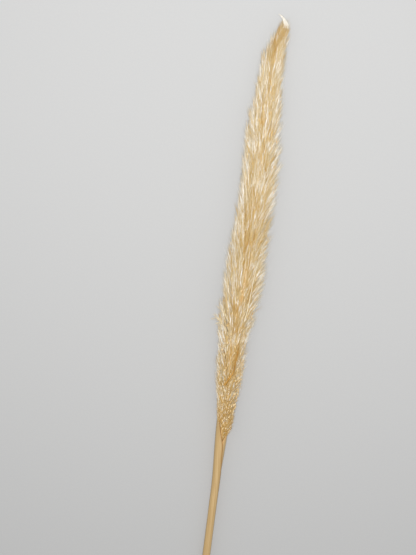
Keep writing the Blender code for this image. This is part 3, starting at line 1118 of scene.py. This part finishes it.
MOUTH_STRANDS = 40
MOUTH_PLACES = (0.319, 0.335)
MOUTH_LENGTH = (0.011, 0.016)
MOUTH_TURNS = ((40, 80), (5, 60))         # degrees, of the root, and of the bend and tip
MOUTH_RADII = (0.0036, 0.0072)            # of the root and the bend
MOUTH_BEND = 0.006        # how far on the bend lies
MOUTH_REACH = [(0.325, 0.0076), (0.332, 0.0090), (0.345, 0.0102), (0.357, 0.0106)]
for _ in range(MOUTH_STRANDS):
    place = vary(*MOUTH_PLACES)
    root = beside(place, MOUTH_RADII[0], vary(*MOUTH_TURNS[0]))
    over = vary(*MOUTH_TURNS[1])
    bend = beside(place + MOUTH_BEND, MOUTH_RADII[1], over)
    end = place + vary(*MOUTH_LENGTH)
    tip = beside(end, through(MOUTH_REACH, end), over)
    strands.append(Strand(root, bend, tip, fine_draw.gauss(*MOUTH_TONE), spacing=1.2, loose=0.2))

STRIP_STRANDS = 30
STRIP_START = 0.330
STRIP_SPAN = 0.026
STRIP_LENGTH = (0.022, 0.034)
STRIP_TURNS = ((95, 125), (118, 150), (150, 195))         # degrees, of the root, bend and tip
STRIP_RADII = (0.0042, 0.0098)            # of the root and the bend
STRIP_BEND = 0.012
STRIP_REACH = (0.85, 1.05)
for place in evenly(STRIP_START, STRIP_SPAN, STRIP_STRANDS):
    root = beside(place, STRIP_RADII[0], vary(*STRIP_TURNS[0]))
    bend = beside(place + STRIP_BEND, STRIP_RADII[1], vary(*STRIP_TURNS[1]))
    over = math.radians(vary(*STRIP_TURNS[2]))
    tip = tuft_point(place + vary(*STRIP_LENGTH), over, vary(*STRIP_REACH))
    strands.append(Strand(root, bend, tip, fine_draw.gauss(*MOUTH_TONE), size=0.6, spacing=1.2))
print("strands in all:", len(strands))

# %% [markdown]
# ## Darker and paler places
#
# The silk's colours are read from a tone, a number from 0 to 1, and each place shifts the tone of its
# brushes: the plume is darker towards its base; paler at its edges, partly its paler outer hair and
# partly painted light through the thin fringe; and more golden where the spikelets part over the
# branches below them, partly the branches' own colour and partly painted shade in the parting.

# %% Measure the tones
PLACE_TONE = [            # distance from the cut end, shift of the tone
    (0.316, -0.40), (0.345, -0.32), (0.370, -0.10), (0.420, -0.02), (0.520, -0.02),
    (0.600, 0.04), (0.690, 0.06), (0.720, -0.06), (0.747, -0.14),
]
# painted shade: each parting lowers the tone of the brushes over it by its depth; the golden is partly the
# branches' own colour
SHADED_GOLDEN_PARTINGS = [       # distance from the cut end, sideways, half length, half width, depth
    (0.731, 0.0064, 0.005, 0.0016, 0.26), (0.724, 0.0026, 0.006, 0.0026, 0.18),
    (0.715, -0.0002, 0.009, 0.0032, 0.28), (0.704, -0.0012, 0.009, 0.0028, 0.28),
    (0.680, -0.0006, 0.018, 0.0014, 0.26), (0.550, -0.0050, 0.016, 0.0022, 0.20),
    (0.524, -0.0010, 0.026, 0.0030, 0.28), (0.457, -0.0027, 0.016, 0.0024, 0.20),
    (0.436, -0.0005, 0.014, 0.0026, 0.16), (0.400, 0.0042, 0.013, 0.0018, 0.45),
    (0.379, -0.0010, 0.008, 0.0028, 0.42),
]
# paler edges: partly the outer hairs' own paler colour, partly painted light shining through the thin
# fringe
EDGE_PALENESS_AND_LIGHT = [(0.316, 0.05), (0.350, 0.20), (0.560, 0.24), (0.640, 0.10), (0.747, 0.04)]
EDGE_START = 0.55         # of the reach


def place_tone(point):
    """The shift of the tone at a point, by its place, its edge and its partings."""
    place = place_of(point)
    sideways = point.x - axis_point(place).x
    edge = abs(sideways) / through(REACH, place, 2 if sideways > 0 else 1)
    beyond = clamp((edge - EDGE_START) / (1 - EDGE_START))
    # painted light at the edges, over the hairs' own paler outer colour
    tone = through(PLACE_TONE, place) + beyond * through(EDGE_PALENESS_AND_LIGHT, place)
    # painted shade: on the upper side the tone is lowered over each parting
    if point.z > axis_point(place).z:
        for middle, sideways, half_length, half_width, depth in SHADED_GOLDEN_PARTINGS:
            away = ((place - middle) / half_length) ** 2 + ((point.x - sideways) / half_width) ** 2
            tone -= depth * math.exp(-away)
    return tone


deepest = max(SHADED_GOLDEN_PARTINGS, key=lambda parting: parting[-1])
print("shift of the tone over the deepest parting:", round(place_tone(at(*deepest[:2], 0.03)), 3))

# %% [markdown]
# ## Stamping
#
# A mesh editor can add a whole mesh at once, far faster than face by face. So each brush is copied,
# turned and stretched by one matrix, given its own tone on the colour map, and added to a growing
# mesh. The plume is cut into stretches, so that no mesh becomes too heavy to handle.

# %% Stamp the brushes along the strands
BRUSH_STEP = 0.0027       # from one brush to the next along a strand
BRUSH_REACH = 0.0125      # a brush's own length
BRUSH_LEAN = (0.03, 0.22)
BRUSH_STRETCH = (0.85, 1.15)
KEPT_SHARE = 0.9          # of the last brush stays within the strand's length
LEAN_ALONG = (1.1, -0.5)  # a factor at a strand's root, and how much it changes on the way to its tip
WIDTH_ALONG = (1.2, -0.35)
SCATTER_ALONG = (1.2, -1.0)
LOOSE_ALONG = (0.4, 1.2)
RISE_SHARE = 0.4          # spikelets rise less steeply from the stem than the strand that carries them
FLARE_SHARE = 1.4         # and stand out more steeply where it flares to the right
BRUSH_TONE_SPREAD = [(0.316, 0.32), (0.390, 0.27), (0.450, 0.22), (0.690, 0.20), (0.747, 0.26)]
LEAST_SHADING = 0.2       # even unshaded strands have brushes of different tones
TONE_LIMITS = (0.06, 0.94)
STRETCH_LIMIT = 185000    # triangles


def stamp(bm, brush, matrix, tone):
    """Add a copy of one brush, placed by a matrix, with its own tone."""
    copy = brush.copy()
    copy.transform(matrix)
    values = colour_maps[brush.name].copy()
    values[0::2] = np.clip(values[0::2] + clamp(tone, *TONE_LIMITS), 0.0, 1.0)
    copy.uv_layers["OFBake"].uv.foreach_set("vector", values)
    bm.from_mesh(copy)
    bpy.data.meshes.remove(copy)


def changing(factor, t):
    """A factor that changes evenly along a strand."""
    start, change = factor
    return start + change * t


def habit_of(strand, t):
    """The habit of one brush: a strand has its own share of beady ones, and more loose ones to its tip."""
    chance = fine_draw.random()
    if chance < strand.beady:
        return "beady"
    return "loose" if chance > 1 - strand.loose * changing(LOOSE_ALONG, t) else "combed"


def dress(bm, strand):
    """Stamp the brushes of one strand, and return how many triangles they hold."""
    free = max(strand.length - BRUSH_REACH * strand.size * KEPT_SHARE, 0.0)
    seen = free * (1 - strand.hidden)
    count = max(2, round(seen / (BRUSH_STEP * strand.size * strand.spacing)) + 1)
    azimuth = vary(0, math.tau)
    added = 0
    for number in range(count):
        t = free / strand.length * (strand.hidden + (1 - strand.hidden) * number / (count - 1))
        azimuth += math.tau * GOLDEN_SHARE
        lean = vary(*BRUSH_LEAN) * changing(LEAN_ALONG, t) * strand.lean
        direction = strand.direction(t)
        direction.z *= RISE_SHARE
        if direction.x > 0 and strand.shading > 0:
            direction.x *= FLARE_SHARE
        direction.normalize()
        facing = direction.to_track_quat("Z", "Y").to_matrix().to_4x4()
        width = strand.size * changing(WIDTH_ALONG, t)
        scale = Matrix.Diagonal((width, width, strand.size * vary(*BRUSH_STRETCH), 1.0))
        aside = nudge(strand.scatter * strand.size * changing(SCATTER_ALONG, t))
        matrix = Matrix.Translation(strand.point(t) + aside) @ facing @ leaning(lean, azimuth) @ scale
        brush = fine_draw.choice(brushes[habit_of(strand, t)])
        middle = strand.point(t) + direction * BRUSH_REACH * strand.size / 2
        spread = through(BRUSH_TONE_SPREAD, place_of(middle))
        own = fine_draw.gauss(0.0, spread * max(strand.shading, LEAST_SHADING))
        tone = strand.tone + strand.shading * place_tone(middle) + own
        stamp(bm, brush, matrix, tone)
        added += triangles(brush)
    return added


strands.sort(key=lambda strand: strand.root.y)
stretches = []
bm = bmesh.new()
filled = 0
for strand in strands:
    filled += dress(bm, strand)
    if filled > STRETCH_LIMIT or strand is strands[-1]:
        stretches.append(mesh_of(bm, f"silky_tufts_{len(stretches) + 1}"))
        bm = bmesh.new()
        filled = 0
print("tuft meshes:", {mesh.name: triangles(mesh) for mesh in stretches})

# %% [markdown]
# ## Mist at the edges
#
# Single hairs stand past the outline on both sides and blur it. They are strands of loose brushes
# alone, a little longer than the outline is wide, in a mesh of their own.

# %% Add the loose hairs of both edges
EDGE_STRANDS = 210
EDGE_PLACES = (0.350, 0.700)
EDGE_LENGTH = 0.017
EDGE_SHARE = (1.00, 1.15)         # of the way to the outline
EDGE_TURN = 0.45                  # radians
EDGE_SIZE = 0.75                  # of the brushes beside them
EDGE_HAIR_TONE = (0.55, 0.1)
EDGE_HABIT = {"spacing": 2.2, "lean": 1.5, "loose": 2.5, "beady": 0.0, "hidden": 0.4}

edge_draw = random.Random(9)
for number, place in enumerate(evenly(EDGE_PLACES[0], EDGE_PLACES[1] - EDGE_PLACES[0], EDGE_STRANDS)):
    turned = math.pi * (number % 2) + edge_draw.uniform(-EDGE_TURN, EDGE_TURN)
    tip = tuft_point(place + EDGE_LENGTH, turned, edge_draw.uniform(*EDGE_SHARE))
    size = EDGE_SIZE * through(BRUSH_SIZE, place)
    tone = edge_draw.gauss(*EDGE_HAIR_TONE)
    root = inside(place, turned, NEAR_SURFACE)
    dress(bm, bent_strand(root, tip, 0.0, tone, size=size, **EDGE_HABIT))
stretches.append(mesh_of(bm, "edge_hairs"))
print("edge hairs, triangles:", triangles(stretches[-1]))

# %% [markdown]
# ## Rows of pale husks
#
# Low on the plume the hairs are short, and the papery husks show as rows of pale beads over golden
# gaps. A row keeps to one angle and its husks stand to its left and right in turn. Every other row
# begins later, where the plume has widened. Higher up only a few husks show between the hairs.

# %% Lay out the husks
HUSK_ROWS = 24
ROW_ANGLES = (-30.0, 210.0)       # degrees: the underside lies on the table
ROW_STARTS = (0.327, 0.352)
ROWS_END = 0.700
ROW_STEP = 0.0027
STEP_SPREAD = (0.85, 1.2)         # of that step
ROW_SHIFT = 0.003
ROW_SWAY = 0.10                   # radians
SWAY_RATE = 50                    # radians to a metre
HUSK_SHARE = (0.74, 0.95)         # of the way to the outline
HUSK_TONE = (0.60, 0.2)
BEAD_LENGTH = 0.0031
BEAD_WIDTH = 0.0009
BEAD_ASIDE = 0.0005
BEAD_LEAN = 0.22
BEAD_AHEAD = 0.004                # a bead points at the outline this far on
BEAD_STRETCH = (0.8, 1.15)
BEAD_POINT = 0.5                  # share of its width that a bead loses to its tip
BEAD_FLATNESS = 0.7
BEAD_TONE_WIDTH = 0.03
HUSK_CHANCE = [(0.327, 0.82), (0.355, 0.56), (0.400, 0.30), (0.450, 0.18), (0.520, 0.08), (ROWS_END, 0.04)]

husk_draw = random.Random(5)


def make_bead():
    """A ball drawn out to a point, standing on the origin along +Z."""
    bm = bmesh.new()
    colour = bm.loops.layers.uv.new("OFBake")
    bmesh.ops.create_uvsphere(bm, u_segments=5, v_segments=4, radius=0.5)
    for face in bm.faces:
        for loop in face.loops:
            x, y, z = loop.vert.co
            loop[colour].uv = (BEAD_TONE_WIDTH * (x + 0.3 * y), z + 0.5)
    for vert in bm.verts:
        pointed = 1 - BEAD_POINT * max(vert.co.z, 0.0) / 0.5
        vert.co.x *= BEAD_WIDTH * pointed
        vert.co.y *= BEAD_WIDTH * pointed * BEAD_FLATNESS
        vert.co.z = BEAD_LENGTH * (vert.co.z + 0.5)
    return mesh_of(bm, "bead")


def stamp_bead(bm, place, turned, side):
    """Add one husk at a place and an angle, turned a little to the left or right."""
    share = husk_draw.uniform(*HUSK_SHARE)
    here = tuft_point(place, turned, share)
    ahead = (tuft_point(place + BEAD_AHEAD, turned, share) - here).normalized()
    across = ahead.cross(outward(turned)).normalized() * side
    facing = (ahead + BEAD_LEAN * outward(turned) + BEAD_LEAN * across).to_track_quat("Z", "Y").to_matrix()
    stretch = Matrix.Diagonal([husk_draw.uniform(*BEAD_STRETCH) for _ in range(3)]).to_4x4()
    matrix = Matrix.Translation(here + BEAD_ASIDE * across) @ facing.to_4x4() @ stretch
    stamp(bm, bead, matrix, husk_draw.gauss(*HUSK_TONE))


bead = make_bead()
colour_maps[bead.name] = colour_map(bead)
bm = bmesh.new()
for row in range(HUSK_ROWS):
    angle = math.radians(ROW_ANGLES[0] + (ROW_ANGLES[1] - ROW_ANGLES[0]) * (row + 0.5) / HUSK_ROWS)
    place = ROW_STARTS[row % 2] + ROW_SHIFT * husk_draw.random()
    side = 1
    while place < ROWS_END:
        turned = angle + ROW_SWAY * math.sin(SWAY_RATE * place + 2 * row)
        low, high = open_window(place)
        free = (math.degrees(turned) - low) % 360 < high - low
        if free and husk_draw.random() < through(HUSK_CHANCE, place):
            stamp_bead(bm, place, turned, side)
        side = -side
        place += ROW_STEP * husk_draw.uniform(*STEP_SPREAD)
bead_mesh = mesh_of(bm, "pale_husks")
print("husks:", triangles(bead_mesh) // triangles(bead), "triangles:", triangles(bead_mesh))

# %% [markdown]
# ## Silk
#
# Each hair is amber where it grows and pale at its tip: partly its own colour, partly painted shade deep
# in the plume and painted light shining through the thin tips. Strands differ from each other more than
# their hairs do. Both are read from the colour map that the brushes carry: across it runs the tone
# of a brush and along it the way from root to tip, so neighbouring brushes stay distinct.

# %% Finish the tufts
silk_finish = Finish("silky_hair", 0.6, 0.2)
tone, along = silk_finish.map_parts("OFBake")
silk = tone.ramp(
    (0.0, 174, 126, 44), (0.3, 199, 167, 100), (0.55, 210, 189, 143), (0.8, 229, 215, 184),
    (0.93, 252, 251, 249),
)
# painted shade: the roots of darker hairs turn amber, as deep in the plume where little light reaches,
# over their own amber
root_amber_and_shade = (1 - along) ** 2.0 * ((1 - tone) * 1.8).clamped() * 0.55
# painted light: the tips turn paler, as if lit through, over their own paler tips
pale_tip_and_light = along ** 3.0 * (tone * 0.62 + 0.10)
silk_finish.coloured(silk.towards((192, 150, 80), root_amber_and_shade).towards((244, 237, 220), pale_tip_and_light))

husk_finish = Finish("papery_husk", 0.55, 0.3)
tone, along = husk_finish.map_parts("OFBake")
husk = tone.ramp((0.0, 190, 148, 84), (0.5, 220, 190, 136), (1.0, 244, 226, 184))
# darker towards its base: partly the husk's own colour, partly painted shade where it sits among the hairs
husk_finish.coloured(husk.towards((190, 142, 72), (1 - along) ** 2.0 * 0.7))

# %% [markdown]
# ## Settle the hairs
#
# A stamped hair knows nothing of its neighbours. Where the plume lies on the table, the lowest hairs
# are pressed flat instead of passing through it, and beside the mouth hairs that would run through
# the sheath's sheet are pushed to the nearer side of it.

# %% Settle the hairs on the table and round the sheath
PRESSED = 0.001           # hairs below this height are pressed
PRESSED_TO = 0.0002
SHEET_CLEARANCE = SHEET / 2 + 0.0002


def values_of(mesh, name):
    """One value of all the points of a mesh, in rows of three."""
    values = np.empty(3 * len(mesh.vertices), np.float32)
    mesh.vertices.foreach_get(name, values)
    return values.reshape(-1, 3)


def press_flat(mesh):
    points = values_of(mesh, "co")
    low = points[:, 2] < PRESSED
    span = PRESSED - PRESSED_TO
    points[low, 2] = PRESSED_TO + span * np.exp((points[low, 2] - PRESSED) / span)
    mesh.vertices.foreach_set("co", points.ravel())


def clear_sheath(mesh):
    """Push points out of the sheath's sheet, and return how many were in it."""
    moved = 0
    for vert in mesh.vertices:
        place = place_of(vert.co)
        if place > TONGUE_END:
            continue
        middle = axis_point(place)
        away = Vector((vert.co.x - middle.x, 0.0, vert.co.z - middle.z))
        front = through(FRONT_MARGIN, place)
        past_margin = (math.degrees(math.atan2(away.z, away.x)) - front) % 360
        for lap in (past_margin, past_margin + 360):
            sheet = sheath_radius(place, lap)
            if lap < through(BACK_MARGIN, place) - front and abs(away.length - sheet) < SHEET_CLEARANCE:
                side = 1 if away.length > sheet else -1
                vert.co = middle + away.normalized() * (sheet + side * SHEET_CLEARANCE)
                moved += 1
                break
    return moved


print("points moved clear of the sheath:", sum(clear_sheath(mesh) for mesh in stretches))
for mesh in stretches:
    press_flat(mesh)
    mesh.update()

# %% [markdown]
# ## Soft shading
#
# Real hairs are so fine and clear that they shade as one soft fluff, not as thousands of hard sticks.
# So the shading normals are turned most of the way from the hair's own sides to those of the fluff
# round it, and the finished stretches take the place of the plume's solid.

# %% Soften the hairs and show them
OWN_SHARE = 0.42          # of a hair's own side in its shading normal
SKYWARD = 2.4             # how far the fluff's upper half faces the sky
AXIS_STEPS = 100


def unit(rows):
    return rows / np.maximum(np.linalg.norm(rows, axis=1, keepdims=True), 1e-6)


def soften(mesh):
    """Turn the shading normals of the hairs towards those of the fluff."""
    points = values_of(mesh, "co")
    places = points[:, 1] + STEM_LENGTH / 2
    knots = [STEM_LENGTH * number / AXIS_STEPS for number in range(AXIS_STEPS + 1)]
    middles = [axis_point(knot) for knot in knots]
    fluff = np.zeros_like(points)
    fluff[:, 0] = points[:, 0] - np.interp(places, knots, [middle.x for middle in middles])
    fluff[:, 2] = points[:, 2] - np.interp(places, knots, [middle.z for middle in middles])
    fluff = unit(fluff)
    fluff[:, 2] += SKYWARD * np.clip(1 + 2 * fluff[:, 2], 0.0, 1.0)
    soft = OWN_SHARE * values_of(mesh, "normal") + (1 - OWN_SHARE) * unit(fluff)
    mesh.normals_split_custom_set_from_vertices(unit(soft))


for mesh in stretches + [bead_mesh]:
    show(mesh.name, mesh, "plume", "silky_plume", husk_finish if mesh is bead_mesh else silk_finish)
    soften(mesh)
print("hairs softened:", all(mesh.has_custom_normals for mesh in stretches + [bead_mesh]))

# %% [markdown]
# ## Table and light
#
# The stem lies on a plain pale table. One small lamp hangs beside the camera, so that shadows hide
# behind the stem as they do in the photograph. It is aimed past the plume's tip, so that the table
# darkens gently towards the cut end. A pale surround gives the rest of the light and softens the sides.

# %% Lay the table and hang the lamp
TABLE_SIZE = 60.0
LAMP_PLACE = Vector((-0.035, 0.13, 1.40))
LAMP_AIM = Vector((-0.035, 1.76, 0.0))
LAMP_SIZE = 0.18
LAMP_POWER = 27.3         # watts
SURROUND = 0.5            # brightness of the pale surround

bm = bmesh.new()
bmesh.ops.create_grid(bm, x_segments=1, y_segments=1, size=TABLE_SIZE / 2)
table = in_scene("table", mesh_of(bm, "table"))
table_finish = Finish("pale_table", 0.9, 0.1)
speckle = table_finish.in_space().drawn_out((600.0, 600.0, 600.0))
table_finish.coloured(speckle.ramp((0.3, 180, 180, 180), (0.7, 182, 182, 181)))
table.data.materials.append(table_finish.material)

light = bpy.data.lights.new("near_camera", "AREA")
light.shape = "SQUARE"
light.size = LAMP_SIZE
light.energy = LAMP_POWER
lamp = in_scene("near_camera", light)
lamp.location = LAMP_PLACE
lamp.rotation_euler = (LAMP_PLACE - LAMP_AIM).to_track_quat("Z", "Y").to_euler()

world = bpy.data.worlds.new("studio")
world.use_nodes = True
surround = world.node_tree.nodes["Background"].inputs
surround["Color"].default_value = (1.0, 1.0, 1.0, 1.0)
surround["Strength"].default_value = SURROUND
bpy.context.scene.world = world
print("lamp:", LAMP_POWER, "watts, surround:", SURROUND)
